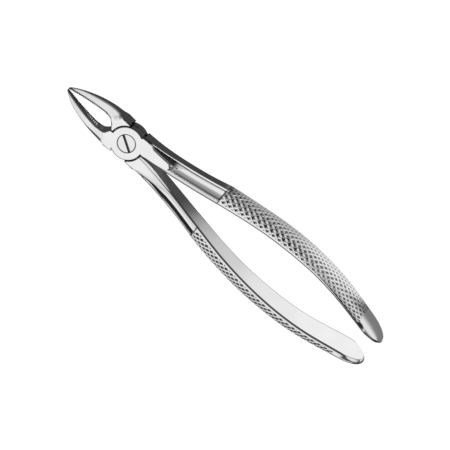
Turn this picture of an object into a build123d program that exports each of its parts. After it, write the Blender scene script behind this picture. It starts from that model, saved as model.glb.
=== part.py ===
from build123d import *
import math
import os

# Extraction forceps, straight upper pattern, about 7 inches long. Millimetres.
# Frame: +Z up along the pivot axis, towards the screw head. +X from the pivot to the handle ends,
# -X to the beak tips, +Y towards the handle of the front half. The origin is on the pivot axis
# at the joint's back face.

# ---------------------------------------------------------------- driving dimensions
JOINT_T = 8.0            # thickness of the lap joint
SPLIT_Z = 4.3            # rear plate is 0..SPLIT_Z, front plate is SPLIT_Z+PLATE_GAP..JOINT_T
PLATE_GAP = 0.08         # axial clearance between the two plates
DISC_R = 7.75            # radius of the round joint plates
DISC_GAP = 0.27          # radial gap between a plate and the other half's shoulder
MID_Z = JOINT_T / 2      # mid-plane of beaks and handles
SIDE_GAP = 0.12          # half of the gap where the halves face each other, closed

HEAD_R = 4.08            # screw head
HEAD_H = 1.9             # height of the head, flush with the front face
HEAD_GAP = 0.08          # radial gap round the head
SHANK_R = 2.75           # bearing shank of the screw
BORE_GAP = 0.04          # radial running clearance of the bearing shank
THREAD_R = 2.2           # threaded end, mean radius
SLOT_W = 0.85            # driver slot
SLOT_D = 0.8
SLOT_ANGLE = -34.0       # of the slot to the X axis
OPEN_DEG = 50.0          # travel of the hinge

KNURL_X = 46.4           # start of the knurled grip

# Handles: X, inner face Y, depth T, width W, turn of the section about its own axis (degrees).
# The inner face is flat, the outer side is a half superellipse.
D_EXP = 2.4
FRONT_HANDLE = [
    (46.0, 6.60, 7.85, 10.30, 0.0),
    (49.0, 7.28, 8.15, 10.55, 0.0),
    (53.0, 8.10, 8.15, 10.80, 0.0),
    (61.7, 9.80, 7.60, 11.50, 0.0),
    (70.5, 11.20, 7.32, 12.20, 0.0),
    (79.3, 12.16, 7.05, 13.10, 0.0),
    (88.0, 12.75, 6.65, 14.00, 0.0),
    (96.8, 12.83, 6.12, 14.70, 0.2),
    (105.4, 12.18, 5.75, 15.30, 0.6),
    (114.0, 10.76, 5.57, 15.60, 2.2),
    (122.6, 8.66, 5.45, 15.60, 4.0),
    (127.5, 7.42, 5.32, 15.50, 4.8),
    (131.4, 6.46, 5.12, 15.27, 5.2),
    (134.6, 5.72, 4.65, 14.10, 5.3),
    (137.2, 5.22, 3.89, 11.90, 5.4),
    (138.9, 4.95, 2.99, 9.20, 5.4),
    (139.9, 4.85, 2.12, 6.50, 5.5),
    (140.6, 4.80, 1.20, 3.60, 5.6),
]
REAR_HANDLE = [
    (46.0, 7.28, 7.15, 10.30, 0.0),
    (49.0, 7.86, 7.50, 10.55, 0.0),
    (53.0, 8.70, 7.58, 10.80, 0.0),
    (61.0, 10.24, 7.38, 11.50, 0.0),
    (69.5, 11.46, 7.20, 12.20, 0.0),
    (78.0, 12.22, 7.04, 13.10, 0.0),
    (86.5, 12.57, 6.70, 14.00, 0.0),
    (95.0, 12.46, 6.46, 14.70, 0.2),
    (103.8, 11.82, 6.27, 15.30, 0.6),
    (112.6, 10.48, 5.95, 15.60, 2.2),
    (121.0, 8.63, 5.75, 15.60, 4.0),
    (126.0, 7.46, 5.55, 15.50, 4.8),
    (130.4, 6.56, 5.33, 15.31, 5.2),
    (133.8, 6.16, 4.82, 14.23, 5.3),
    (136.4, 6.00, 4.06, 12.26, 5.4),
    (138.2, 5.94, 3.18, 9.73, 5.4),
    (139.4, 5.92, 2.20, 6.80, 5.5),
    (140.2, 5.92, 1.20, 3.60, 5.6),
]
# Shanks: X, inner Y, outer Y, width at the inner face, width at the outer face.
FRONT_SHANK = [
    (8.2, 0.20, 7.76, 8.0, 6.45),
    (13.0, 0.72, 8.15, 8.0, 5.60),
    (17.5, 1.35, 8.65, 8.25, 5.20),
    (22.0, 1.95, 9.30, 8.80, 4.87),
    (27.0, 2.78, 10.13, 9.12, 4.87),
    (35.0, 4.27, 11.68, 9.60, 4.87),
    (41.0, 5.50, 13.08, 9.98, 5.10),
    (46.6, 6.74, 14.52, 10.33, 5.60),
]
REAR_SHANK = [
    (8.2, 0.20, 7.88, 8.0, 6.45),
    (13.0, 0.72, 8.10, 8.0, 5.60),
    (17.5, 1.42, 8.58, 8.25, 5.20),
    (22.0, 2.35, 9.25, 8.80, 4.87),
    (27.0, 3.36, 10.05, 9.12, 4.87),
    (35.0, 5.00, 11.60, 9.60, 4.87),
    (41.0, 6.30, 12.92, 9.98, 5.10),
    (46.6, 7.40, 14.22, 10.33, 5.60),
]
FLUTE_RIM_IN = 1.9       # rims left beside each flute, along the inner and the outer edge
FLUTE_RIM_OUT = 0.55
FLUTE_DEPTH = 1.15
# Beaks: X, outer Y, width on the mid-line, width at the outer face.
REAR_BEAK = [
    (-4.60, 7.86, 8.00, 7.80),
    (-6.60, 8.08, 8.00, 7.10),
    (-8.60, 8.26, 7.80, 5.90),
    (-10.8, 8.38, 7.30, 4.70),
    (-13.0, 8.42, 6.50, 3.90),
    (-17.4, 7.88, 5.25, 3.24),
    (-21.8, 6.88, 4.80, 2.74),
    (-26.2, 5.50, 3.95, 1.96),
    (-30.5, 3.72, 3.10, 1.10),
    (-33.2, 2.20, 2.40, 0.75),
    (-35.1, 0.75, 1.50, 0.50),
]
FRONT_BEAK = [
    (-4.60, 7.92, 8.00, 7.80),
    (-6.60, 8.08, 8.00, 7.10),
    (-8.60, 8.21, 7.80, 5.90),
    (-10.8, 8.30, 7.30, 4.70),
    (-13.0, 8.28, 6.50, 3.90),
    (-17.4, 7.85, 5.25, 3.24),
    (-21.8, 6.97, 4.80, 2.74),
    (-26.2, 5.82, 3.95, 1.96),
    (-30.5, 4.20, 3.10, 1.10),
    (-33.2, 2.35, 2.40, 0.75),
    (-35.1, 0.80, 1.50, 0.50),
]
# Plan outline of the gap between the closed beaks: X and half width.
BEAK_GAP = [
    (-35.6, 0.12), (-33.2, 0.55), (-30.5, 1.22), (-26.2, 2.22), (-21.8, 3.03), (-17.4, 3.60),
    (-15.0, 3.75), (-13.0, 3.70), (-11.7, 3.30), (-10.8, 2.60), (-9.9, 1.45), (-9.1, 0.12),
]
HOLLOW = 0.16            # depth of the hollow along the inside of a beak, over the beak's width
# Bevel along the inner edge of each handle root: X and leg.
ROOT_BEVEL = [(7.0, 0.95), (13.0, 0.98), (17.5, 0.88), (22.0, 0.50), (27.0, 0.12)]


def slope_at(table, i):
    a = table[max(i - 1, 0)]
    b = table[min(i + 1, len(table) - 1)]
    return math.atan2(b[1] - a[1], b[0] - a[0])


def handle_solid(table, side):
    """Lofted grip with a flat inner face; side is +1 for the handle at +Y, -1 for -Y."""
    wires = []
    for i, (x, y, depth, width, turn) in enumerate(table):
        phi = slope_at(table, i)
        if i > len(table) - 6:
            phi = math.radians(-8.0)
        out = Vector(-math.sin(phi), side * math.cos(phi), 0)
        w = math.radians(turn)
        n = out * math.cos(w) - Vector(0, 0, 1) * math.sin(w)
        zz = Vector(0, 0, 1) * math.cos(w) + out * math.sin(w)
        o = Vector(x, side * y, MID_Z)
        pts = []
        for k in range(-8, 9):
            th = math.radians(90.0 * k / 8)
            c = abs(math.cos(th)) ** (2 / D_EXP) if abs(k) < 8 else 0.0
            s = math.copysign(abs(math.sin(th)) ** (2 / D_EXP), k)
            pts.append(o + n * (depth * c) + zz * (width / 2 * s))
        e1 = Edge.make_spline(pts, tangents=(n, n * -1))
        e2 = Edge.make_line(pts[-1], pts[0])
        wires.append(Wire([e1, e2]))
    return Solid.make_loft(wires, ruled=False)


def corners(x, side, yi, yo, wi, wo):
    p = [
        Vector(x, side * yi, MID_Z - wi / 2),
        Vector(x, side * yo, MID_Z - wo / 2),
        Vector(x, side * yo, MID_Z + wo / 2),
        Vector(x, side * yi, MID_Z + wi / 2),
    ]
    return Wire([Edge.make_line(p[k], p[(k + 1) % 4]) for k in range(4)])


def four_loft(table, side):
    return Solid.make_loft([corners(r[0], side, *r[1:]) for r in table], ruled=False)


def prism(points, z0, z1):
    w = Wire.make_polygon([Vector(x, y, z0) for x, y in points], close=True)
    return Solid.extrude(Face(w), Vector(0, 0, z1 - z0))


def cyl(r, z0, z1, x=0.0, y=0.0):
    return Solid.make_cylinder(r, z1 - z0, Plane(origin=(x, y, z0), z_dir=(0, 0, 1)))


def flute(table, side, up):
    """Concave flute along the front (up=+1) or rear (up=-1) face of a shank."""
    wires = []
    for x, yi, yo, wi, wo in table:
        if x < 12:
            continue
        t = min(max((x - 13.0) / 12.0, 0.0), 1.0)
        t = t * t * (3 - 2 * t)
        za, zb = wi / 2, wo / 2
        L = math.hypot(yo - yi, za - zb)
        dy, dz = (yo - yi) / L, (zb - za) / L
        a, b = FLUTE_RIM_IN + (1 - t) * 3.6, L - FLUTE_RIM_OUT
        c = (a + b) / 2
        half = (b - a) / 2
        depth = 0.15 + FLUTE_DEPTH * t
        r = (half * half + depth * depth) / (2 * depth)
        cy = yi + dy * c + (-dz) * (r - depth)
        cz = za + dz * c + dy * (r - depth)
        pl = Plane(origin=(x, side * cy, MID_Z + up * cz), x_dir=(0, 1, 0), z_dir=(1, 0, 0))
        wires.append(Wire.make_circle(r, pl))
    return Solid.make_loft(wires, ruled=False)


def gap_prism():
    """The space between the closed beaks, right through."""
    up = Edge.make_spline([Vector(x, y, -1) for x, y in BEAK_GAP])
    down = Edge.make_spline([Vector(x, -y, -1) for x, y in BEAK_GAP])
    ends = [Edge.make_line(up @ 0, down @ 0), Edge.make_line(up @ 1, down @ 1)]
    return Solid.extrude(Face(Wire([up, down] + ends)), Vector(0, 0, JOINT_T + 2))


def bevel_cut(side, shank, up):
    """Bevel on the inner edge of a handle root, on the front (up=1) or rear (up=-1) face."""
    wires = []
    for x, leg in ROOT_BEVEL:
        yi = SIDE_GAP
        for (x0, y0), (x1, y1) in zip([(r[0], r[1]) for r in shank], [(r[0], r[1]) for r in shank][1:]):
            if x0 <= x <= x1:
                yi = y0 + (y1 - y0) * (x - x0) / (x1 - x0)
        zf = JOINT_T if up > 0 else 0.0
        c = Vector(x, side * (yi - 1.0), zf + up * 1.0)
        p = Vector(x, side * (yi - 1.0), zf - up * (leg + 1.0))
        q = Vector(x, side * (yi + leg + 1.0), zf + up * 1.0)
        wires.append(Wire([Edge.make_line(c, p), Edge.make_line(p, q), Edge.make_line(q, c)]))
    return Solid.make_loft(wires, ruled=True)


def half(side, handle, shank, beak_table):
    """side +1: handle at +Y, beak at -Y, plate on the front. side -1: the other half."""
    grip = handle_solid(handle, side)
    bar = four_loft(shank, side)
    for up in (1, -1):
        bar = bar - flute(shank, side, up)
    root = prism(
        [(0.5, side * SIDE_GAP), (8.6, side * SIDE_GAP), (13.0, side * 0.70), (17.5, side * 1.38),
         (20.6, side * 1.9), (21.7, side * 4.3), (20.0, side * 6.1), (15.7, side * 6.2),
         (11.3, side * 6.4), (8.6, side * 7.8), (4.3, side * 7.45), (0.5, side * 4.0)], 0, JOINT_T)
    beak = four_loft([(x, SIDE_GAP, yo, wi, wo) for x, yo, wi, wo in beak_table], -side)
    boss = prism(
        [(-0.5, -side * SIDE_GAP), (-10.9, -side * SIDE_GAP), (-10.8, -side * 2.2),
         (-10.1, -side * 4.4), (-8.9, -side * 6.4), (-7.4, -side * 7.5), (-6.0, -side * 8.0),
         (-4.45, -side * 7.85), (-0.5, -side * 4.0)], 0, JOINT_T)
    disc = cyl(DISC_R, 0, JOINT_T)
    body = grip.fuse(bar).fuse(root).fuse(beak).fuse(boss).fuse(disc)
    body = body.cut(gap_prism())
    # hollow along the inside of the beak
    wires = []
    for x, yi, wi in ((-14.5, 3.74, 4.55), (-17.4, 3.60, 4.32), (-21.8, 3.03, 3.90), (-26.2, 2.22, 3.14),
                      (-30.5, 1.22, 2.50), (-33.2, 0.55, 1.95), (-36.0, 0.12, 1.40)):
        depth = HOLLOW * wi
        h = 0.5 * wi - 0.2
        r = (h * h + depth * depth) / (2 * depth)
        pl = Plane(origin=(x, -side * (yi - (r - depth)), MID_Z), x_dir=(0, 1, 0), z_dir=(1, 0, 0))
        wires.append(Wire.make_circle(r, pl))
    body = body.cut(Solid.make_loft(wires, ruled=False))
    # bevel on the root's inner edge, on the face that carries the other half's plate
    body = body.cut(bevel_cut(side, shank, -side))
    # lap: the other half's plate is kept clear
    if side > 0:
        z0, z1 = -1.0, SPLIT_Z + PLATE_GAP
    else:
        z0, z1 = SPLIT_Z, JOINT_T + 1.0
    return body.cut(cyl(DISC_R + DISC_GAP, z0, z1))


def as_one(shape):
    s = shape.solids() if hasattr(shape, "solids") else [shape]
    s = sorted(s, key=lambda q: q.volume)
    return s[-1], len(s)


front = half(1, FRONT_HANDLE, FRONT_SHANK, FRONT_BEAK)
front = front.cut(cyl(SHANK_R + BORE_GAP, -1, JOINT_T + 1))
front = front.cut(cyl(HEAD_R + HEAD_GAP, JOINT_T - HEAD_H - 0.04, JOINT_T + 1))
rear = half(-1, REAR_HANDLE, REAR_SHANK, REAR_BEAK)
rear = rear.cut(cyl(THREAD_R, -1, JOINT_T + 1))

screw = cyl(HEAD_R, JOINT_T - HEAD_H, JOINT_T).fuse(cyl(SHANK_R, SPLIT_Z, JOINT_T - HEAD_H)).fuse(cyl(THREAD_R, 0, SPLIT_Z))
slot = Solid.make_box(2 * HEAD_R + 2, SLOT_W, SLOT_D + 1, Plane(origin=(-HEAD_R - 1, -SLOT_W / 2, JOINT_T - SLOT_D)))
slot = slot.rotate(Axis.Z, SLOT_ANGLE)
screw = screw.cut(slot)

os.makedirs("parts", exist_ok=True)
for name, shape in (("front_half", front), ("rear_half", rear), ("pivot_screw", screw)):
    solid, count = as_one(shape)
    print(name, count, round(solid.volume, 2), solid.bounding_box())
    solid.label = name
    export_step(solid, "parts/" + name + ".step")
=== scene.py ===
import math
import bpy
import numpy as np
from mathutils import Matrix, Vector


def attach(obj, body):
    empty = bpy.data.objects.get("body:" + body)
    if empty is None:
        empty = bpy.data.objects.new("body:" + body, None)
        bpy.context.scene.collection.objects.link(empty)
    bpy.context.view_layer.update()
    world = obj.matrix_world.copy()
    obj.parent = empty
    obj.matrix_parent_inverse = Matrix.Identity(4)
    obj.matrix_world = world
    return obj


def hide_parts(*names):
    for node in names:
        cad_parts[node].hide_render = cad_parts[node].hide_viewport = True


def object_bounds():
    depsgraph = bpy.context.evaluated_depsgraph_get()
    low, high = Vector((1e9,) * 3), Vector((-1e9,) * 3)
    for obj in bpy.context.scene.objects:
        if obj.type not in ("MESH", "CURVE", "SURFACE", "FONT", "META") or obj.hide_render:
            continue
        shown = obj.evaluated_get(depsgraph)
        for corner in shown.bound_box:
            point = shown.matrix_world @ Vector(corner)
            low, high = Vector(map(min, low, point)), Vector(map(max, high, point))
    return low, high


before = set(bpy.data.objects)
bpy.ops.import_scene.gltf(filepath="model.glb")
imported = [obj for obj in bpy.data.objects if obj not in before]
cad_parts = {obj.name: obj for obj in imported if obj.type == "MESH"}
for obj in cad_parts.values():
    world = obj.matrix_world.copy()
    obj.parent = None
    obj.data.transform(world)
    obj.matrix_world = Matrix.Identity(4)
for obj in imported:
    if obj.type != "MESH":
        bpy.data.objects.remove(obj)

cad_lo, cad_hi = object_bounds()
scene = bpy.context.scene

# ------------------------------------------------------------------ camera
SC = 2.30                      # frame pixels to a millimetre
TILT = math.radians(26.5)      # the camera leans this far from the joint's axis
TURN = math.radians(3.97)
ROLL = math.radians(44.3)
eA = Vector((math.cos(TURN), -math.sin(TURN), 0))
eB = Vector((math.sin(TURN), math.cos(TURN), 0))
eZ = Vector((0, 0, 1))
look = math.sin(TILT) * eB + math.cos(TILT) * eZ
eV = math.cos(TILT) * eB - math.sin(TILT) * eZ
right = math.cos(ROLL) * eA + math.sin(ROLL) * eV
up = -math.sin(ROLL) * eA + math.cos(ROLL) * eV
DIST = 3.0
target = (55.4 * eA + 5.22 * eB + 8 * eZ) / 1000
cam = bpy.data.objects.new("Camera", bpy.data.cameras.new("Camera"))
scene.collection.objects.link(cam)
m = Matrix((right, up, look)).transposed().to_4x4()
m.translation = target + look * DIST
cam.matrix_world = m
cam.data.sensor_width = 36.0
cam.data.lens = 36.0 * DIST * 1000 * SC / 450.0
cam.data.clip_start, cam.data.clip_end = 0.1, 20.0
scene.camera = cam
scene.view_settings.view_transform = "Standard"

# ------------------------------------------------------------------ dimensions, millimetres
JOINT_T, SPLIT_Z, PLATE_GAP = 8.0, 4.3, 0.08
DISC_R, DISC_GAP, MID_Z, SIDE_GAP = 7.75, 0.27, 4.0, 0.12
HEAD_R, HEAD_H, HEAD_GAP, SHANK_R, BORE_GAP, THREAD_R = 4.08, 1.9, 0.08, 2.75, 0.04, 2.2
SLOT_W, SLOT_D, SLOT_ANGLE = 1.10, 0.95, math.radians(-34.0)
P_EXP = 2.4
GRIP_X = 46.9                  # the knurled grip starts here

FRONT_HANDLE = [
    (46.0, 6.60, 7.85, 10.30, 0.0), (49.0, 7.28, 8.15, 10.55, 0.0), (53.0, 8.10, 8.15, 10.80, 0.0),
    (61.7, 9.80, 7.60, 11.50, 0.0), (70.5, 11.20, 7.32, 12.20, 0.0), (79.3, 12.16, 7.05, 13.10, 0.0),
    (88.0, 12.75, 6.65, 14.00, 0.0), (96.8, 12.83, 6.12, 14.70, 0.2), (105.4, 12.18, 5.75, 15.30, 0.6),
    (114.0, 10.76, 5.57, 15.60, 2.2), (122.6, 8.66, 5.45, 15.60, 4.0), (127.5, 7.42, 5.32, 15.50, 4.8),
    (131.4, 6.46, 5.20, 15.50, 5.2), (134.6, 5.72, 5.10, 15.50, 5.3), (140.0, 4.75, 5.00, 15.50, 5.4),
]
REAR_HANDLE = [
    (46.0, 7.28, 7.15, 10.30, 0.0), (49.0, 7.86, 7.50, 10.55, 0.0), (53.0, 8.70, 7.58, 10.80, 0.0),
    (61.0, 10.24, 7.38, 11.50, 0.0), (69.5, 11.46, 7.20, 12.20, 0.0), (78.0, 12.22, 7.04, 13.10, 0.0),
    (86.5, 12.57, 6.70, 14.00, 0.0), (95.0, 12.46, 6.46, 14.70, 0.2), (103.8, 11.82, 6.27, 15.30, 0.6),
    (112.6, 10.48, 5.95, 15.60, 2.2), (121.0, 8.63, 5.75, 15.60, 4.0), (126.0, 7.46, 5.55, 15.50, 4.8),
    (130.4, 6.56, 5.40, 15.50, 5.2), (133.8, 6.16, 5.25, 15.50, 5.3), (139.5, 5.90, 5.00, 15.50, 5.4),
]
FRONT_SHANK = [
    (8.2, 0.20, 7.76, 8.0, 6.45), (13.0, 0.72, 8.15, 8.0, 5.60), (17.5, 1.35, 8.65, 8.25, 5.20),
    (22.0, 1.95, 9.30, 8.80, 4.87), (27.0, 2.78, 10.13, 9.12, 4.87), (35.0, 4.27, 11.68, 9.60, 4.87),
    (41.0, 5.50, 13.08, 9.98, 5.10), (46.6, 6.74, 14.52, 10.33, 5.60), (50.0, 7.50, 15.40, 10.6, 5.9),
]
REAR_SHANK = [
    (8.2, 0.20, 7.88, 8.0, 6.45), (13.0, 0.72, 8.10, 8.0, 5.60), (17.5, 1.42, 8.58, 8.25, 5.20),
    (22.0, 2.35, 9.25, 8.80, 4.87), (27.0, 3.36, 10.05, 9.12, 4.87), (35.0, 5.00, 11.60, 9.60, 4.87),
    (41.0, 6.30, 12.92, 9.98, 5.10), (46.6, 7.40, 14.22, 10.33, 5.60), (50.0, 8.10, 15.00, 10.6, 5.9),
]
FRONT_END, REAR_END = (128.4, 12.1), (127.6, 12.5)   # start and length of the rounded handle end
# beaks: X, outer Y, width on the mid-line, width at the outer face
REAR_BEAK = [
    (-36.4, -0.60, 1.00, 0.30), (-35.1, 0.75, 1.50, 0.50), (-33.2, 2.20, 2.40, 0.75), (-30.5, 3.72, 3.10, 1.10),
    (-26.2, 5.50, 3.95, 1.96), (-21.8, 6.88, 4.80, 2.74), (-17.4, 7.88, 5.25, 3.24), (-13.0, 8.42, 6.50, 3.90),
    (-10.8, 8.38, 7.30, 4.70), (-8.60, 8.26, 7.80, 5.90), (-6.60, 8.08, 8.00, 7.10), (-4.60, 7.86, 8.00, 7.80),
]
FRONT_BEAK = [
    (-36.4, -0.60, 1.00, 0.30), (-35.1, 0.80, 1.50, 0.50), (-33.2, 2.35, 2.40, 0.75), (-30.5, 4.20, 3.10, 1.10),
    (-26.2, 5.82, 3.95, 1.96), (-21.8, 6.97, 4.80, 2.74), (-17.4, 7.85, 5.25, 3.24), (-13.0, 8.28, 6.50, 3.90),
    (-10.8, 8.30, 7.30, 4.70), (-8.60, 8.21, 7.80, 5.90), (-6.60, 8.08, 8.00, 7.10), (-4.60, 7.92, 8.00, 7.80),
]
BEAK_GAP = [
    (-35.6, 0.12), (-33.2, 0.55), (-30.5, 1.22), (-26.2, 2.22), (-21.8, 3.03), (-17.4, 3.60),
    (-15.0, 3.75), (-13.0, 3.70), (-11.7, 3.30), (-10.8, 2.60), (-9.9, 1.45), (-9.1, 0.12), (-8.6, -0.8),
]
ROOT_BEVEL = [(7.0, 0.95), (13.0, 0.98), (17.5, 0.88), (22.0, 0.50), (27.0, 0.12), (30.0, -0.3)]

# ------------------------------------------------------------------ smooth tables
DX = 0.02


def natural_spline(xs, ys):
    """A natural cubic spline through the points, sampled every DX; gives (x0, values)."""
    xs, ys = np.asarray(xs, float), np.asarray(ys, float)
    order = np.argsort(xs)
    xs, ys = xs[order], ys[order]
    n = len(xs)
    h = np.diff(xs)
    a = np.zeros((n, n))
    r = np.zeros(n)
    a[0, 0] = a[-1, -1] = 1
    for i in range(1, n - 1):
        a[i, i - 1], a[i, i], a[i, i + 1] = h[i - 1], 2 * (h[i - 1] + h[i]), h[i]
        r[i] = 6 * ((ys[i + 1] - ys[i]) / h[i] - (ys[i] - ys[i - 1]) / h[i - 1])
    mm = np.linalg.solve(a, r)
    q = np.arange(xs[0], xs[-1], DX)
    k = np.clip(np.searchsorted(xs, q, "right") - 1, 0, n - 2)
    t, u = q - xs[k], xs[k + 1] - q
    v = (mm[k] * u**3 + mm[k + 1] * t**3) / (6 * h[k]) + (ys[k] / h[k] - mm[k] * h[k] / 6) * u + (
        ys[k + 1] / h[k] - mm[k + 1] * h[k] / 6) * t
    return q, v


class Table:
    """Columns of a list of stations as smooth functions of X."""

    def __init__(self, rows):
        rows = sorted(rows)
        self.cols = [natural_spline([r[0] for r in rows], [r[i] for r in rows]) for i in range(1, len(rows[0]))]
        self.slopes = [np.gradient(v, DX) for q, v in self.cols]

    def __call__(self, x, i):
        q, v = self.cols[i]
        return np.interp(x, q, v)

    def slope(self, x, i):
        return np.interp(x, self.cols[i][0], self.slopes[i])


def smin(a, b, k):
    h = np.maximum(k - np.abs(a - b), 0) / k
    return np.minimum(a, b) - h * h * k * 0.25


def smax(a, b, k):
    return -smin(-a, -b, k)


def step(x, a, b):
    t = np.clip((x - a) / (b - a), 0, 1)
    return t * t * (3 - 2 * t)


def poly2d(px, py, pts):
    """Signed distance to a polygon, negative inside."""
    pts = np.asarray(pts, float)
    d = np.full(px.shape, 1e9)
    s = np.ones(px.shape)
    n = len(pts)
    for i in range(n):
        a, b = pts[i], pts[i - 1]
        e = b - a
        wx, wy = px - a[0], py - a[1]
        t = np.clip((wx * e[0] + wy * e[1]) / (e @ e), 0, 1)
        d = np.minimum(d, (wx - e[0] * t) ** 2 + (wy - e[1] * t) ** 2)
        c1, c2, c3 = py >= a[1], py < b[1], e[0] * wy > e[1] * wx
        flip = (c1 & c2 & c3) | (~c1 & ~c2 & ~c3)
        s = np.where(flip, -s, s)
    return s * np.sqrt(d)


GAP_T = Table(BEAK_GAP)
BEVEL_T = Table(ROOT_BEVEL)
KN_S, KN_N = 3.20, 10.0     # knurl: repeat along the grip, repeats round it


class Half:
    """One forging as a distance-like function of points in millimetres. side +1: handle at +Y."""

    def __init__(self, side, handle, shank, beak, end):
        self.side, self.end = side, end
        self.plain = self.knurled = True
        self.bevel = [0.12, 0.45, 0.85, 0.95, 0.0] if side > 0 else [0.10, 0.28, 0.50, 0.55, 0.0]
        self.knurl_depth = 0.19 if side > 0 else 0.34
        p0, p1 = (0.80, 0.80) if side > 0 else (0.60, 0.85)
        if side > 0:
            self.spread = [20.0, 21.5, 23], [3.6, 5.2, 6.0]
            self.deep = [20.4, 20.8, 24, 27], [0.9, 1.2, 1.4, 1.38]
        else:
            self.spread = [12.0, 14, 20, 28, 36], [0.5, 1.1, 2.9, 4.9, 6.5]
            self.deep = [12.0, 14, 20, 28, 36], [0.0, 0.44, 1.15, 1.62, 1.72]
        tm = p0 / (p0 + p1)
        self.flute = (p0, p1, tm**p0 * (1 - tm) ** p1)
        self.h, self.s, self.b = Table(handle), Table(shank), Table(beak)

    # grip with a flat inner face, rounded outside, knurled
    def grip(self, x, y, z, knurl=True):
        h = self.h
        s = np.clip(x, 44.0, 141.0)
        for _ in range(4):
            s = x + (y - h(s, 0)) * h.slope(s, 0)
        c1 = h.slope(s, 0)
        n = (y - h(s, 0)) * np.sqrt(1 + c1 * c1)
        zt = z - MID_Z
        w = np.radians(h(s, 3))
        cw, sw = np.cos(w), np.sin(w)
        n2, z2 = n * cw - zt * sw, zt * cw + n * sw
        T, W = h(s, 1), h(s, 2) / 2
        s0, le = self.end
        ds = np.maximum(s - s0, 0) / le
        nn, az = np.maximum(n2, 0) / T, np.abs(z2) / W
        p = P_EXP
        hh = (nn**p + az**p + ds**p + 1e-9) ** (1 / p)
        g = np.sqrt((nn ** (p - 1) / T) ** 2 + (az ** (p - 1) / W) ** 2 + (ds ** (p - 1) / le) ** 2) * hh ** (1 - p)
        f_out = (hh - 1) / np.maximum(g, 0.06)
        if knurl:
            th = np.arctan2(z2 / W, np.maximum(n2, 0.01) / T)
            a, b = s / KN_S, th * KN_N / math.pi
            q1, q2 = a + b, a - b
            w1, w2 = np.abs(q1 - np.round(q1)), np.abs(q2 - np.round(q2))
            hg = 1 - np.clip(smin(w1 * 2.4, w2 * 2.4, 0.10), 0, 1)
            edge = step(n2, 1.15, 1.75) * step(s, 47.3, 49.0) * (1 - step(s + 0.28 * n2, 126.4, 127.6))
            # mask of the knurl pit centres, used for painted shade in the pits
            if knurl == "pits":
                e1, e2 = q1 - np.floor(q1), q2 - np.floor(q2)
                return np.clip((np.minimum(w1, w2) - 0.11) * 6.0, 0, 1) * edge
            f_out = f_out + self.knurl_depth * (1 - hg) * edge
        ke = 0.5
        leg = 1.7 * step(s, 128, 138) - 0.3
        f = smax(-n2, f_out, ke)
        f = smax(f, (f_out - n2 + leg) / math.sqrt(2), 0.2)
        return smax(f, GRIP_X - x, 0.25)

    def shank(self, x, y, z):
        t = self.s
        yi, yo, wi, wo = t(x, 0), t(x, 1), t(x, 2) / 2, t(x, 3) / 2
        ci = 1 / np.sqrt(1 + t.slope(x, 0) ** 2)
        co = 1 / np.sqrt(1 + t.slope(x, 1) ** 2)
        L = yo - yi
        n = y - yi
        zt = np.abs(z - MID_Z)
        tb = (wi - wo) / L
        cb = 1 / np.sqrt(1 + tb * tb)
        f_z = (zt - (wi - tb * n)) * cb
        f = smax(-n * ci, f_z, 0.45)
        f = smax(f, (y - yo) * co, 0.25)
        if not self.knurled:
            return smax(smax(f, x - GRIP_X - 1.3, 0.1), 4.4 - x, 0.1)
        rw = np.interp(x, [9, 20, 30], [0.50, 0.62, 0.90] if self.side > 0 else [0.50, 0.50, 0.58])
        # near the joint the face falls away outside the flat plate
        if self.side > 0:
            xe = 20.8 + 8.0 * np.clip(1 - (yo - rw - y) / 3.6, 0, 1)
            fall = (zt - (wo - 0.10 + 0.36 * (yo - rw - y))) * 0.94
            fall = np.where((y < yo - rw) & (x < xe), fall, -1.0)
        else:
            fall = (zt - (wo + 0.9 * (yo - 0.4 - y))) * 0.743 - 1.2 * step(x, 13.0, 20.0)
        f = smax(f, fall, 0.08)
        # flute: a channel along the sloped face
        q = n * cb - (zt - wi) * tb * cb
        hgt = (zt - wi) * cb + n * tb * cb
        width = L / cb
        b = width - rw
        full = b - 1.95
        ww = np.minimum(np.interp(x, *self.spread), full)
        a = b - ww
        tt = np.clip((q - a) / ww, 0.004, 1.0)
        t1 = np.maximum(1 - tt, 0.003)
        p0, p1, pn = self.flute
        shape = tt**p0 * t1**p1 / pn
        slope = np.abs(p0 / tt - p1 / t1) * shape
        dep = np.interp(x, *self.deep) * (np.clip((x - xe) / 0.3, 0, 1) if self.side > 0 else 1.0) * np.clip((GRIP_X - x) / 0.12, 0, 1)
        inside = (q > a - 0.25) & (q < b + 0.25)
        cut = (hgt + dep * shape) / np.sqrt(1 + np.minimum((dep * slope / ww), 3.0) ** 2)
        cut = np.where(inside, cut, hgt)
        f = smax(f, cut, 0.06)
        if self.side > 0:
            rim = np.where(y > yo - rw, zt - wo, -1.0)
        else:
            rim = np.where(y > yo - rw - 0.15, zt - (wo + 0.5 * tb * rw), -1.0)
        f = smax(f, rim, 0.05)
        return smax(smax(f, x - GRIP_X - 1.3, 0.1), 4.4 - x, 0.1)

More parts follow.
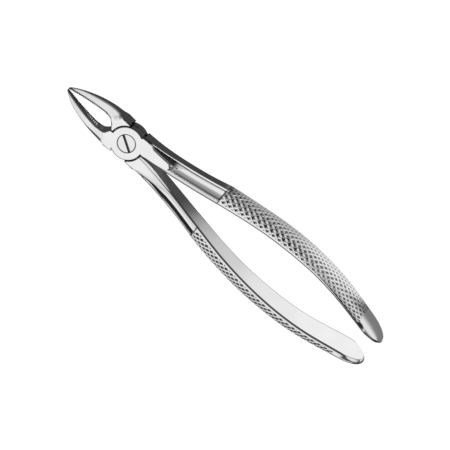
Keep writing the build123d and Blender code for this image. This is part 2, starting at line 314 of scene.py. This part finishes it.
    def root(self, x, y, z):
        """Flat plates of the joint on the handle side."""
        if self.side > 0:
            pts = [(0.5, SIDE_GAP), (8.6, SIDE_GAP), (13.0, 0.70), (17.5, 1.38), (20.6, 1.9), (21.7, 4.3),
                   (20.0, 6.1), (15.7, 6.2), (11.3, 6.45), (8.4, 7.62), (4.3, 7.45), (0.5, 4.0)]
        else:
            pts = [(0.5, SIDE_GAP), (8.6, SIDE_GAP), (13.0, 0.70), (17.5, 1.38), (22.0, 2.0), (28.0, 3.0),
                   (28.0, 6.0), (14.0, 7.0), (11.3, 7.4), (8.4, 7.70), (4.3, 7.45), (0.5, 4.0)]
        d = poly2d(x, y, pts)
        yi = np.maximum(self.s(x, 0), SIDE_GAP)
        d = np.maximum(d, np.where(x > 9.5, yi - y, -1.0))
        if self.side > 0:
            return smax(d, np.abs(z - MID_Z) - JOINT_T / 2, np.where(z < 2.5, 1.9, 0.35))
        yb = np.interp(x, [8.4, 10.3, 12, 15, 19, 23, 28], [8.4, 7.3, 6.5, 5.9, 5.0, 4.0, 3.0])
        lean = np.interp(x, [9.0, 11.0, 14.0, 20.0], [0.9, 0.9, 0.62, 0.40])
        over = np.maximum(y - yb + 0.7, 0)
        run = lean * over * (over + 1) / (over + 0.5) ** 2
        top = np.abs(z - MID_Z) - JOINT_T / 2 + lean * over * over / (over + 0.5) + 0.5 * step(x, 12, 27)
        top = top / np.sqrt(1 + run * run)
        return smax(d, top, 0.35)

    def beak(self, x, y, z):
        """y is positive on the beak's own side."""
        t = self.b
        yo, wm, wo = t(x, 0), t(x, 1) / 2, t(x, 2) / 2
        co = 1 / np.sqrt(1 + t.slope(x, 0) ** 2)
        zt = np.abs(z - MID_Z)
        rr = np.hypot(x, y)
        if self.side > 0:
            wo = wo + 0.8 * np.interp(x, [-36, -28, -20, -9.2, -8.4], self.bevel) * step(z, 2.5, 4.0)
        tb = (wm - wo) / np.maximum(yo - SIDE_GAP, 0.6)
        hw = np.clip(wm - tb * (y - SIDE_GAP), 0.12, 4.0)
        boss_pts = [(-0.5, -3.0), (-10.9, -3.0), (-10.8, 2.2), (-10.1, 4.4), (-8.9, 6.4), (-7.4, 7.5),
                    (-6.0, 8.6), (-0.5, 8.6)]
        d = poly2d(x, y, boss_pts)
        hw = hw + (JOINT_T / 2 - hw) * (1 - step(d, 0.0, 2.4))
        f_z = zt - hw
        leg = np.interp(x, [-36, -28, -20, -9.2, -8.4], self.bevel) * step(z, 2.5, 4.0)
        f = smax(f_z, (y - yo) * co, 0.25)
        f = smax(f, (f_z + (y - yo) * co + leg) / math.sqrt(2), 0.18)
        f = smax(f, SIDE_GAP - y, 0.2)
        f = smax(f, x + 3.5, 0.1)
        f = smax(f, -35.08 - x, 0.15)
        # the gap between the closed beaks
        gy = GAP_T(x, 0)
        cg = 1 / np.sqrt(1 + GAP_T.slope(x, 0) ** 2)
        inside = (gy - y) * cg
        inside = np.where(x > -8.7, -1.0, inside)
        f = smax(f, inside, 0.22)
        # hollow along the inside with fine cross serrations
        wi = np.maximum(wm - tb * (gy - SIDE_GAP), 0.5)
        k = np.clip(zt / np.maximum(wi - 0.1, 0.2), 0, 1)
        dep = 0.30 * wi * (1 - k * k) * (1 - step(x, -15.2, -13.2))
        ser = np.abs((x / 0.95) - np.round(x / 0.95)) * 2
        sa = 0.30 * step(x, -34.6, -33.6) * (1 - step(x, -15.5, -14.0))
        hollow = (gy + dep + sa * ser - y) * cg
        hollow = np.where(x > -12.8, -1.0, hollow)
        return smax(f, hollow, 0.08)

    def __call__(self, x, y, z):
        side = self.side
        yh, yb = y * side, -y * side
        big = np.full(x.shape, 1e3)
        f = big.copy()
        m = x > 40
        if m.any():
            f[m] = self.grip(x[m], yh[m], z[m], self.knurled)
        m = (x > 4) & (x < 52)
        if m.any():
            g = self.shank(x[m], yh[m], z[m])
            f[m] = np.minimum(f[m], g)
        m = (x > -3) & (x < 29)
        if m.any():
            rt = self.root(x[m], yh[m], z[m])
            kk = 0.02 + (0.6 * step(x[m], 10, 15) * (yh[m] > self.s(x[m], 0) + 0.8) if side < 0
                         else 0.0)
            f[m] = smin(f[m], rt, kk)
        m = x < 0
        if m.any():
            f[m] = np.minimum(f[m], self.beak(x[m], yb[m], z[m]))
        m = (x < 14) & (x > -14)
        r = np.hypot(x[m], y[m])
        zt = z[m] - MID_Z
        disc = smax(r - DISC_R, np.abs(zt) - JOINT_T / 2, 0.35)
        f[m] = np.minimum(f[m], disc)
        # bevel along the inner edge of the root, on the face that carries the other half's plate
        m = (x > 5) & (x < 30)
        yi = np.maximum(self.s(x[m], 0), SIDE_GAP)
        zf = (z[m] - JOINT_T) if side < 0 else -z[m]
        leg = BEVEL_T(x[m], 0)
        bev = (zf - (yh[m] - yi) + leg) / math.sqrt(2)
        f[m] = smax(f[m], bev, 0.12)
        # lap: room for the other half's plate, with fine edge breaks
        m = (x < 14) & (x > -14)
        zz = z[m]
        if side > 0:
            lap = smax(r - (DISC_R + DISC_GAP), zz - (SPLIT_Z + PLATE_GAP), 0.02)
        else:
            lap = smax(r - (DISC_R + DISC_GAP), SPLIT_Z - zz, 0.02)
        f[m] = smax(f[m], -lap, np.where(np.abs(zz - SPLIT_Z) < 1.0, 0.70, 0.24))
        if side > 0:
            hole = np.minimum(r - (SHANK_R + BORE_GAP),
                              np.maximum(r - (HEAD_R + HEAD_GAP), (JOINT_T - HEAD_H - 0.04) - zz))
            f[m] = smax(f[m], -hole, 0.16)
        else:
            f[m] = smax(f[m], -(r - THREAD_R), 0.1)
        return f


class Screw:
    def __call__(self, x, y, z):
        r = np.hypot(x, y)
        head = smax(r - HEAD_R, np.maximum(z - JOINT_T, JOINT_T - HEAD_H - z), 0.22)
        dome = z - (JOINT_T - 0.0022 * r * r)
        head = smax(head, dome, 0.1)
        body = np.maximum(r - SHANK_R, np.maximum(z - (JOINT_T - HEAD_H + 0.2), SPLIT_Z - z))
        end = smax(r - THREAD_R, np.maximum(-z, z - SPLIT_Z - 0.2), 0.25)
        f = np.minimum(np.minimum(head, body), end)
        c, s = math.cos(SLOT_ANGLE), math.sin(SLOT_ANGLE)
        v = -x * s + y * c
        slot = smax(np.abs(v) - SLOT_W / 2, (JOINT_T - SLOT_D) - z, 0.15)
        return smax(f, -slot, 0.12)


# ------------------------------------------------------------------ surface nets
def grid_values(fun, lo, hi, h, ratio=5):
    """Values of fun on a fine grid, worked out only near the surface."""
    lo = np.asarray(lo, float)
    n = (np.ceil((np.asarray(hi, float) - lo) / (h * ratio)).astype(int)) * ratio + 1
    axes = [lo[i] + h * np.arange(n[i]) for i in range(3)]
    cx, cy, cz = [a[::ratio] for a in axes]
    X, Y, Z = np.meshgrid(cx, cy, cz, indexing="ij")
    F = fun(X.ravel(), Y.ravel(), Z.ravel()).reshape(X.shape)
    near = np.abs(F) < h * ratio * 1.35 + 0.35
    cell = np.zeros([k - 1 for k in F.shape], bool)
    for a in (0, 1):
        for b in (0, 1):
            for c in (0, 1):
                cell |= near[a:a + cell.shape[0], b:b + cell.shape[1], c:c + cell.shape[2]]
                cell |= (F[a:a + cell.shape[0], b:b + cell.shape[1], c:c + cell.shape[2]] < 0) != (
                    F[:cell.shape[0], :cell.shape[1], :cell.shape[2]] < 0)
    f = np.repeat(np.repeat(np.repeat(F[:-1, :-1, :-1], ratio, 0), ratio, 1), ratio, 2)
    f = np.pad(f, ((0, 1), (0, 1), (0, 1)), mode="edge").astype(np.float32)
    mask = np.repeat(np.repeat(np.repeat(cell, ratio, 0), ratio, 1), ratio, 2)
    full = np.zeros(f.shape, bool)
    for a in (0, 1):
        for b in (0, 1):
            for c in (0, 1):
                full[a:a + mask.shape[0], b:b + mask.shape[1], c:c + mask.shape[2]] |= mask
    i, j, k = np.nonzero(full)
    for q in range(0, len(i), 400000):
        e = slice(q, q + 400000)
        f[i[e], j[e], k[e]] = fun(axes[0][i[e]], axes[1][j[e]], axes[2][k[e]])
    return axes, f


def surface_nets(fun, lo, hi, h, ratio=5):
    axes, f = grid_values(fun, lo, hi, h, ratio)
    s = f < 0
    shape = np.array(f.shape)
    cells = shape - 1
    acc = []
    quads = []

    def cid(i, j, k):
        return (i * cells[1] + j) * cells[2] + k

    for ax in range(3):
        a = [slice(None)] * 3
        b = [slice(None)] * 3
        a[ax], b[ax] = slice(None, -1), slice(1, None)
        e = s[tuple(a)] != s[tuple(b)]
        ijk = np.stack(np.nonzero(e), 1)
        o = [q for q in range(3) if q != ax]
        ok = (ijk[:, o[0]] > 0) & (ijk[:, o[0]] < cells[o[0]]) & (ijk[:, o[1]] > 0) & (ijk[:, o[1]] < cells[o[1]])
        ijk = ijk[ok]
        nxt = ijk.copy()
        nxt[:, ax] += 1
        f0, f1 = f[tuple(ijk.T)].astype(float), f[tuple(nxt.T)].astype(float)
        t = f0 / (f0 - f1)
        p = np.stack([axes[q][ijk[:, q]] for q in range(3)], 1)
        p[:, ax] += t * h
        ids = []
        for da, db in ((1, 1), (0, 1), (0, 0), (1, 0)):
            c = ijk.copy()
            c[:, o[0]] -= da
            c[:, o[1]] -= db
            cc = cid(c[:, 0], c[:, 1], c[:, 2])
            ids.append(cc)
            acc.append((cc, p))
        quad = np.stack(ids, 1)
        flip = (f0 < 0) != (ax == 1)
        quad[~flip] = quad[~flip][:, ::-1]
        quads.append(quad)
    c = np.concatenate([q[0] for q in acc])
    p = np.concatenate([q[1] for q in acc])
    uniq, inv = np.unique(c, return_inverse=True)
    cnt = np.bincount(inv)
    v = np.stack([np.bincount(inv, p[:, q]) / cnt for q in range(3)], 1)
    faces = np.searchsorted(uniq, np.concatenate(quads))
    return v, faces


def gradient(fun, v, e=0.02):
    g = np.empty_like(v)
    for a in range(3):
        d = np.zeros(3)
        d[a] = e
        p, q = v + d, v - d
        g[:, a] = (fun(*p.T.copy()) - fun(*q.T.copy())) / (2 * e)
    return g


def settle(fun, v, rounds=3, cap=0.08):
    for _ in range(rounds):
        f = fun(*v.T.copy())
        g = gradient(fun, v)
        g2 = np.maximum((g * g).sum(1), 0.2)
        st = -(f / g2)[:, None] * g
        ln = np.linalg.norm(st, axis=1)
        st *= np.minimum(1, cap / np.maximum(ln, 1e-9))[:, None]
        v = v + st
    return v


def make_mesh(name, fun, lo, hi, h, keep=None, e=0.03):
    v, faces = surface_nets(fun, lo, hi, h)
    v = settle(fun, v)
    me = bpy.data.meshes.new(name)
    me.from_pydata((v / 1000).tolist(), [], faces.tolist())
    ob = bpy.data.objects.new(name, me)
    scene.collection.objects.link(ob)
    if keep and len(faces) * 2 > keep:
        mod = ob.modifiers.new("thin", "DECIMATE")
        mod.ratio = keep / (len(faces) * 2)
        dg = bpy.context.evaluated_depsgraph_get()
        thin = bpy.data.meshes.new_from_object(ob.evaluated_get(dg))
        ob.modifiers.clear()
        ob.data = thin
        bpy.data.meshes.remove(me)
        me = thin
        me.name = name
    n = len(me.vertices)
    co = np.empty(n * 3)
    me.vertices.foreach_get("co", co)
    v = settle(fun, co.reshape(-1, 3) * 1000, 2, 0.05)
    me.vertices.foreach_set("co", (v / 1000).ravel())
    me.validate()
    g = gradient(fun, v, e)
    g /= np.maximum(np.linalg.norm(g, axis=1), 1e-9)[:, None]
    me.polygons.foreach_set("use_smooth", np.ones(len(me.polygons), bool))
    me.normals_split_custom_set_from_vertices(g.tolist())
    # how open the surface is: near 1 on open faces, low in pits, slots and gaps; it drives painted shade, darkening the
    # base colour in these crevices
    occ = np.zeros(n)
    ring = np.hypot(v[:, 0], v[:, 1]) < 12.0
    for t in (0.15, 0.35, 0.7):
        q = v + g * t
        d = fun(*q.T.copy())
        if ring.any():
            qr = q[ring]
            for other in (FRONT, REAR, SCREW):
                d[ring] = np.minimum(d[ring], other(*qr.T.copy()))
        occ += np.clip(d / t, 0, 1) / 3
    # painted shade: darker knurl pit centres, stronger on the rear half
    if hasattr(fun, "plain"):
        m = v[:, 0] > 44.5
        pit = fun.grip(v[m, 0], v[m, 1] * fun.side, v[m, 2], "pits")
        occ[m] *= 1 - (0.42 if fun.side > 0 else 0.80) * np.clip(pit, 0, 1)
    # painted shade taken off the lap rim of the joint plates, and kept light in the ring round the screw head
    rim = (np.abs(v[:, 2] - SPLIT_Z - PLATE_GAP / 2) < 0.4) & (np.hypot(v[:, 0], v[:, 1]) > 7.1) & (np.abs(v[:, 0]) < 7.0)
    occ[rim] = 1.0
    ring = (np.abs(np.hypot(v[:, 0], v[:, 1]) - HEAD_R) < 0.5) & (v[:, 2] > 7.4)
    occ[ring] = 0.86 + 0.14 * occ[ring]
    # painted shade: the screw slot is set half dark
    if isinstance(fun, Screw):
        across = -v[:, 0] * math.sin(SLOT_ANGLE) + v[:, 1] * math.cos(SLOT_ANGLE)
        occ[(np.abs(across) < SLOT_W / 2 + 0.03) & (v[:, 2] < JOINT_T - 0.10) & (v[:, 2] > 6.5)] = 0.5
    at = me.attributes.new("open", "FLOAT", "POINT")
    at.data.foreach_set("value", occ.astype(np.float32))
    # how close a sharp outer edge is: 0 on open faces, towards 1 on the edge; it paints dark lines along the edges, a
    # painted reflection of the dark surroundings
    edge = np.zeros(n)
    if hasattr(fun, "plain"):
        fun.knurled = False
        off = fun(*v.T.copy())
        gp = gradient(fun, v, e)
        gp /= np.maximum(np.linalg.norm(gp, axis=1), 1e-9)[:, None]
        for t in (0.22, 0.46):
            q = v - gp * (t + off[:, None])
            w = np.clip(1 + fun(*q.T.copy()) / t, 0, 1) * (off > -0.15)
            edge = np.maximum(edge, np.where((t > 0.3) & (np.hypot(v[:, 0], v[:, 1]) < 10.3), 0, w))
        yl = v[:, 1] * fun.side
        soft = (v[:, 0] > 8.5) & (v[:, 0] < 47.5) & (v[:, 2] > 4.0)
        soft &= fun.side > 0
        ys = fun.s(v[:, 0], 1)
        edge[soft] *= np.where(yl[soft] > ys[soft] - 1.3, 0.2, 0.45)
        if fun.side > 0:
            # painted shade: dark line in the corner under the rim and at the end of the flute
            rw = np.interp(v[:, 0], [9, 20, 30], [0.50, 0.62, 0.90])
            line = soft & (v[:, 0] > 10) & (v[:, 0] < 46.7) & (yl < ys - rw - 0.02) & (yl > ys - rw - 0.42)
            line |= soft & (np.abs(v[:, 0] - 46.6) < 0.22) & (yl < ys - rw) & (yl > fun.s(v[:, 0], 0) + 1.9)
            edge[line] = 1.0
        if fun.side > 0:
            # painted reflection on the lower beak and the disc: dark outer edge line and a dark band on the bevel
            # inside it
            yb, yo = -yl, fun.b(v[:, 0], 0)
            up = v[:, 2] > np.where(v[:, 0] < -19, 4.0, 4.6)
            line = up & (v[:, 0] < -9.0) & (yb > yo - 0.34) & (yb > 0)
            wide = 0.30 + 1.35 * np.interp(v[:, 0], [-21.5, -16, -10, -8.8], [0, 0.7, 1, 0])
            line |= up & (v[:, 0] > -22) & (v[:, 0] < -8.8) & (yb > yo - wide)
            rr = np.hypot(v[:, 0], v[:, 1])
            line |= (v[:, 2] > 7.4) & (rr > DISC_R - 0.24) & (rr < DISC_R + 0.05) & (v[:, 1] < -5.6) & (v[:, 0] > -4.2)
            # painted reflection: dark line along the inner edge of the handle's end
            n_in = (yl - fun.h(v[:, 0], 0))
            line |= (v[:, 0] > 130) & (v[:, 2] > 3.5) & (n_in < 0.30 + 0.55 * step(v[:, 0], 130, 136))
            edge[line] = 1.0
        if fun.side < 0:
            # painted reflection: slightly dark tip of the rear handle and a dark line along the rear shank's outer edge
            tip = (v[:, 0] > 139.3) & (v[:, 2] > 2.0)
            edge[tip] = np.maximum(edge[tip], 0.14)
            line = (v[:, 0] > 11) & (v[:, 0] < 47.5) & (v[:, 2] > 4.0) & (yl > fun.s(v[:, 0], 1) - 0.24)
            edge[line] = 1.0
        fun.knurled = True
    at = me.attributes.new("edge", "FLOAT", "POINT")
    at.data.foreach_set("value", edge.astype(np.float32))
    me.update()
    return ob


FRONT = Half(1, FRONT_HANDLE, FRONT_SHANK, FRONT_BEAK, FRONT_END)
REAR = Half(-1, REAR_HANDLE, REAR_SHANK, REAR_BEAK, REAR_END)
SCREW = Screw()


# ------------------------------------------------------------------ materials
def steel(name, base, rough, scratch, rot=0.0):
    mt = bpy.data.materials.new(name)
    mt.use_nodes = True
    nt = mt.node_tree
    bs = nt.nodes["Principled BSDF"]
    bs.inputs["Metallic"].default_value = 1.0
    bs.inputs["IOR"].default_value = 2.5
    tc = nt.nodes.new("ShaderNodeTexCoord")
    mp = nt.nodes.new("ShaderNodeMapping")
    mp.inputs["Rotation"].default_value = (0, 0, rot)
    mp.inputs["Scale"].default_value = (1.0, 1.0, 1.0)
    nt.links.new(tc.outputs["Object"], mp.inputs["Vector"])
    n1 = nt.nodes.new("ShaderNodeTexNoise")
    n1.inputs["Scale"].default_value = 140.0
    n1.inputs["Detail"].default_value = 4.0
    nt.links.new(mp.outputs["Vector"], n1.inputs["Vector"])
    r1 = nt.nodes.new("ShaderNodeValToRGB")
    r1.color_ramp.elements[0].color = (base[0] * 0.95, base[1] * 0.95, base[2] * 0.955, 1)
    r1.color_ramp.elements[1].color = (*base, 1)
    r1.color_ramp.elements[0].position, r1.color_ramp.elements[1].position = 0.3, 0.7
    nt.links.new(n1.outputs["Fac"], r1.inputs["Fac"])
    # painted shade: the 'open' attribute darkens the base colour towards 0.10 in pits, slots and gaps
    at = nt.nodes.new("ShaderNodeAttribute")
    at.attribute_name = "open"
    ro = nt.nodes.new("ShaderNodeMapRange")
    ro.interpolation_type = "SMOOTHSTEP"
    ro.inputs["From Min"].default_value, ro.inputs["From Max"].default_value = 0.45, 0.97
    ro.inputs["To Min"].default_value, ro.inputs["To Max"].default_value = 0.0, 1.0
    nt.links.new(at.outputs["Fac"], ro.inputs["Value"])
    mc = nt.nodes.new("ShaderNodeMix")
    mc.data_type = "RGBA"
    mc.inputs[6].default_value = (0.10, 0.10, 0.105, 1)
    nt.links.new(ro.outputs["Result"], mc.inputs[0])
    # painted reflection: the 'edge' attribute darkens the base colour towards 0.07 and the specular tint towards 0.12
    # along edges
    ae = nt.nodes.new("ShaderNodeAttribute")
    ae.attribute_name = "edge"
    re = nt.nodes.new("ShaderNodeMapRange")
    re.interpolation_type = "SMOOTHSTEP"
    re.inputs["From Min"].default_value, re.inputs["From Max"].default_value = 0.04, 0.17
    re.inputs["To Min"].default_value, re.inputs["To Max"].default_value = 0.0, 0.92
    nt.links.new(ae.outputs["Fac"], re.inputs["Value"])
    me = nt.nodes.new("ShaderNodeMix")
    me.data_type = "RGBA"
    nt.links.new(re.outputs["Result"], me.inputs[0])
    nt.links.new(r1.outputs["Color"], me.inputs[6])
    me.inputs[7].default_value = (0.07, 0.07, 0.074, 1)
    nt.links.new(me.outputs[2], mc.inputs[7])
    mt2 = nt.nodes.new("ShaderNodeMix")
    mt2.data_type = "RGBA"
    mt2.inputs[6].default_value = (1, 1, 1, 1)
    mt2.inputs[7].default_value = (0.12, 0.12, 0.12, 1)
    nt.links.new(re.outputs["Result"], mt2.inputs[0])
    nt.links.new(mt2.outputs[2], bs.inputs["Specular Tint"])
    nt.links.new(mc.outputs[2], bs.inputs["Base Color"])
    # fine polishing lines along the piece
    m2 = nt.nodes.new("ShaderNodeMapping")
    m2.inputs["Rotation"].default_value = (0, 0, rot)
    m2.inputs["Scale"].default_value = (60.0, 2600.0, 2600.0)
    nt.links.new(tc.outputs["Object"], m2.inputs["Vector"])
    n2 = nt.nodes.new("ShaderNodeTexNoise")
    n2.inputs["Scale"].default_value = 1.0
    n2.inputs["Detail"].default_value = 2.0
    nt.links.new(m2.outputs["Vector"], n2.inputs["Vector"])
    r2 = nt.nodes.new("ShaderNodeMapRange")
    r2.inputs["From Min"].default_value, r2.inputs["From Max"].default_value = 0.3, 0.75
    r2.inputs["To Min"].default_value, r2.inputs["To Max"].default_value = rough, rough + scratch
    nt.links.new(n2.outputs["Fac"], r2.inputs["Value"])
    nt.links.new(r2.outputs["Result"], bs.inputs["Roughness"])
    return mt


STEEL_F = steel("polished_steel_front", (0.90, 0.90, 0.905), 0.05, 0.05)
STEEL_R = steel("polished_steel_rear", (0.90, 0.90, 0.905), 0.05, 0.05)
STEEL_S = steel("screw_steel", (0.86, 0.86, 0.865), 0.08, 0.06, math.radians(40))

# ------------------------------------------------------------------ the pieces
H = 0.2
KEEP = 400000
front = make_mesh("front_half_forging", FRONT,
                  (-36.4, -9.4, -4.6), (140.8, 20.4, 12.6), H, KEEP)
rear = make_mesh("rear_half_forging", REAR,
                 (-36.4, -20.4, -4.6), (140.8, 9.4, 12.6), H, KEEP)
screw = make_mesh("slotted_pivot_screw", SCREW, (-4.6, -4.6, -0.5), (4.6, 4.6, 8.5), 0.11)
for ob, mt, body, node, slot in ((front, STEEL_F, "front", "front_half", "polished_steel"),
                                 (rear, STEEL_R, "rear", "rear_half", "polished_steel"),
                                 (screw, STEEL_S, "rear", "pivot_screw", "screw_steel")):
    ob.data.materials.clear()
    ob.data.materials.append(mt)
    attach(ob, body)
    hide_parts(node)

# ------------------------------------------------------------------ studio
lo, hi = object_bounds()
FLOOR_Z = cad_lo.z - 0.0002


def plane(name, cx, cy, z, sx, sy, n=1):
    me = bpy.data.meshes.new(name)
    me.from_pydata([(cx - sx, cy - sy, z), (cx + sx, cy - sy, z), (cx + sx, cy + sy, z), (cx - sx, cy + sy, z)], [], [(0, 1, 2, 3)])
    ob = bpy.data.objects.new(name, me)
    scene.collection.objects.link(ob)
    return ob


floor = plane("floor", 0.05, 0, FLOOR_Z, 6, 6)
mt = bpy.data.materials.new("floor_paper")
mt.use_nodes = True
nt = mt.node_tree
nt.nodes.clear()
em = nt.nodes.new("ShaderNodeEmission")
em.inputs["Color"].default_value = (1, 1, 1, 1)
em.inputs["Strength"].default_value = 1.05
tr = nt.nodes.new("ShaderNodeBsdfTransparent")
gm = nt.nodes.new("ShaderNodeNewGeometry")
ms = nt.nodes.new("ShaderNodeMixShader")
nt.links.new(gm.outputs["Backfacing"], ms.inputs[0])
nt.links.new(em.outputs[0], ms.inputs[1])
nt.links.new(tr.outputs[0], ms.inputs[2])
out = nt.nodes.new("ShaderNodeOutputMaterial")
nt.links.new(ms.outputs[0], out.inputs[0])
floor.data.materials.append(mt)
floor.visible_glossy = False
floor.visible_diffuse = False



class Net:
    """Small helper to write node arithmetic."""

    def __init__(self, tree):
        self.nt = tree
        tree.nodes.clear()

    def put(self, sock, v):
        if isinstance(v, (int, float)):
            sock.default_value = v
        else:
            self.nt.links.new(v, sock)

    def math(self, op, a, b=0.0, clamp=False):
        n = self.nt.nodes.new("ShaderNodeMath")
        n.operation, n.use_clamp = op, clamp
        self.put(n.inputs[0], a)
        self.put(n.inputs[1], b)
        return n.outputs[0]

    def dot(self, v, d):
        n = self.nt.nodes.new("ShaderNodeVectorMath")
        n.operation = "DOT_PRODUCT"
        self.nt.links.new(v, n.inputs[0])
        n.inputs[1].default_value = tuple(d)
        return n.outputs["Value"]

    def span(self, v, a, b, c=0.0, d=1.0):
        n = self.nt.nodes.new("ShaderNodeMapRange")
        n.interpolation_type = "SMOOTHSTEP"
        for k, q in zip(("Value", "From Min", "From Max", "To Min", "To Max"), (v, a, b, c, d)):
            self.put(n.inputs[k], q)
        return n.outputs["Result"]

    def mix(self, f, a, b):
        n = self.nt.nodes.new("ShaderNodeMix")
        n.data_type = "FLOAT"
        self.put(n.inputs[0], f)
        self.put(n.inputs[2], a)
        self.put(n.inputs[3], b)
        return n.outputs[0]

    def curve(self, v, pts, lo=0.0, hi=1.0):
        """A piecewise curve through (v, value) points."""
        x0, x1 = pts[0][0], pts[-1][0]
        t = self.math("DIVIDE", self.math("SUBTRACT", v, x0), x1 - x0, True)
        n = self.nt.nodes.new("ShaderNodeValToRGB")
        e = n.color_ramp.elements
        while len(e) < len(pts):
            e.new(0.5)
        for k, (x, y) in enumerate(pts):
            w = (y - lo) / (hi - lo)
            e[k].position = (x - x0) / (x1 - x0)
            e[k].color = (w, w, w, 1)
        self.nt.links.new(t, n.inputs["Fac"])
        q = self.math("MULTIPLY", n.outputs["Color"], hi - lo)
        return self.math("ADD", q, lo)


# paper under the object as the steel sees it: a glowing card seen only in reflections, with painted shadow where the
# object stands close and a painted dark flag on the far side
card = plane("under_card", 0.05, 0, FLOOR_Z - 0.001, 0.5, 0.5)
card.visible_camera = False
card.visible_diffuse = False
card.visible_shadow = False
mt = bpy.data.materials.new("under_card")
mt.use_nodes = True
g = Net(mt.node_tree)
tc = g.nt.nodes.new("ShaderNodeTexCoord")
X = g.math("MULTIPLY", g.dot(tc.outputs["Object"], (1, 0, 0)), 1000.0)
Y = g.math("MULTIPLY", g.dot(tc.outputs["Object"], (0, 1, 0)), 1000.0)
outer = [(-36, 0.0), (-26, 5.6), (-13, 8.3), (8, 7.9), (17.5, 8.6), (27, 10.1), (35, 11.6), (46, 14.4), (61, 17.6),
         (78, 19.3), (95, 18.9), (112, 16.4), (126, 13.0), (134, 11.2), (141, 7.0)]
inner = [(-36, 0.0), (13, 0.7), (27, 3.2), (46, 7.0), (61, 10.1), (78, 12.2), (95, 12.6), (112, 10.6), (126, 7.5), (141, 5.2)]
far = g.math("SUBTRACT", Y, g.curve(X, outer, 0, 20))            # beyond the upper handle
near = g.math("SUBTRACT", g.math("MULTIPLY", Y, -1.0), g.curve(X, outer, 0, 20))   # in front of the lower handle
inn = g.math("SUBTRACT", g.curve(X, inner, 0, 20), Y)            # from the upper handle's inner edge inward
E_far = g.curve(X, [(-60, 0.055), (42, 0.06), (50, 0.48), (80, 0.62), (98, 0.95), (121, 0.95), (126, 0.22), (200, 0.2)])
E_far = g.mix(g.math("MULTIPLY", g.span(far, 3.0, 90.0), g.span(X, 118.0, 132.0)), E_far, 0.55)
E_mid = g.curve(X, [(-60, 0.05), (36, 0.075), (42, 0.16), (46, 0.34), (50, 0.46), (58, 0.62), (72, 0.72), (80, 0.86), (110, 0.97), (200, 1.0)])
E_mid = g.mix(g.span(inn, -0.5, 1.0), 0.10, E_mid)
reach = g.curve(X, [(-60, 28.0), (-9, 28.0), (2, 14.0), (10, 9.0), (38, 9.0), (54, 26.0), (200, 26.0)], 0, 30)
E_near = g.span(g.math("DIVIDE", near, reach), 1.0, 2.0, 0.05, 0.78)
E = g.mix(g.span(Y, -2.0, -1.0), g.mix(g.span(near, -1.0, 0.5), E_mid, E_near), g.mix(g.span(far, -2.0, 0.0), E_mid, E_far))
# brighter paper right under the joint, lifting the painted shadow there, for the views from below
foot = g.math("MULTIPLY", g.span(g.math("ABSOLUTE", Y), 7.0, 5.5), g.math("MULTIPLY", g.span(X, -13.0, -11.0), g.span(X, 5.0, 3.0)))
E = g.mix(foot, E, 0.75)
em = g.nt.nodes.new("ShaderNodeEmission")
g.put(em.inputs["Strength"], E)
out = g.nt.nodes.new("ShaderNodeOutputMaterial")
g.nt.links.new(em.outputs[0], out.inputs[0])
card.data.materials.append(mt)

# soft white tent, darker on the far side, with the opening the camera looks through
world = bpy.data.worlds.new("tent")
scene.world = world
world.use_nodes = True
g = Net(world.node_tree)
tc = g.nt.nodes.new("ShaderNodeTexCoord")
nv = g.nt.nodes.new("ShaderNodeVectorMath")
nv.operation = "NORMALIZE"
g.nt.links.new(tc.outputs["Generated"], nv.inputs[0])
a = g.math("MULTIPLY", g.math("ARCSINE", g.dot(nv.outputs[0], eA)), 180 / math.pi)
th = g.math("MULTIPLY", g.math("ARCTAN2", g.dot(nv.outputs[0], eB), g.dot(nv.outputs[0], eZ)), 180 / math.pi)
left = g.curve(th, [(-180, 0.62), (-120, 0.78), (-75, 0.92), (-55, 0.82), (-42, 0.80), (-30, 0.96), (-20, 0.96), (-8, 0.82),
                    (8, 0.78), (17, 0.50), (30, 0.38), (60, 0.32), (78, 0.22), (95, 0.13), (180, 0.06)])
rite = g.curve(th, [(-180, 0.62), (-120, 0.78), (-75, 0.85), (-42, 0.85), (-30, 0.96), (-20, 0.96), (5, 0.86), (30, 0.84),
                    (75, 0.84), (90, 0.62), (110, 0.34), (130, 0.2), (180, 0.18)])
E = g.mix(g.span(a, -13.0, -3.0), left, rite)
edge_on = g.curve(th, [(-180, 0.6), (-120, 0.30), (-95, 0.10), (0, 0.10), (14, 0.45), (28, 0.84), (70, 0.86), (90, 0.60),
                       (115, 0.36), (140, 0.22), (180, 0.16)])
E = g.mix(g.span(a, 12.0, 18.0), E, edge_on)
hole = g.math("POWER", g.math("DIVIDE", g.math("SUBTRACT", a, 2.5), 10.5), 2.0)
hole = g.math("ADD", hole, g.math("POWER", g.math("DIVIDE", g.math("SUBTRACT", th, 14.0), 26.0), 2.0))
E = g.math("MULTIPLY", E, g.span(hole, 0.65, 1.3, 0.022, 1.0))
lp = g.nt.nodes.new("ShaderNodeLightPath")
E = g.mix(lp.outputs["Is Camera Ray"], E, 1.05)
bg = g.nt.nodes.new("ShaderNodeBackground")
g.put(bg.inputs["Strength"], E)
bg.inputs["Color"].default_value = (1, 1, 1, 1)
out = g.nt.nodes.new("ShaderNodeOutputWorld")
g.nt.links.new(bg.outputs[0], out.inputs[0])
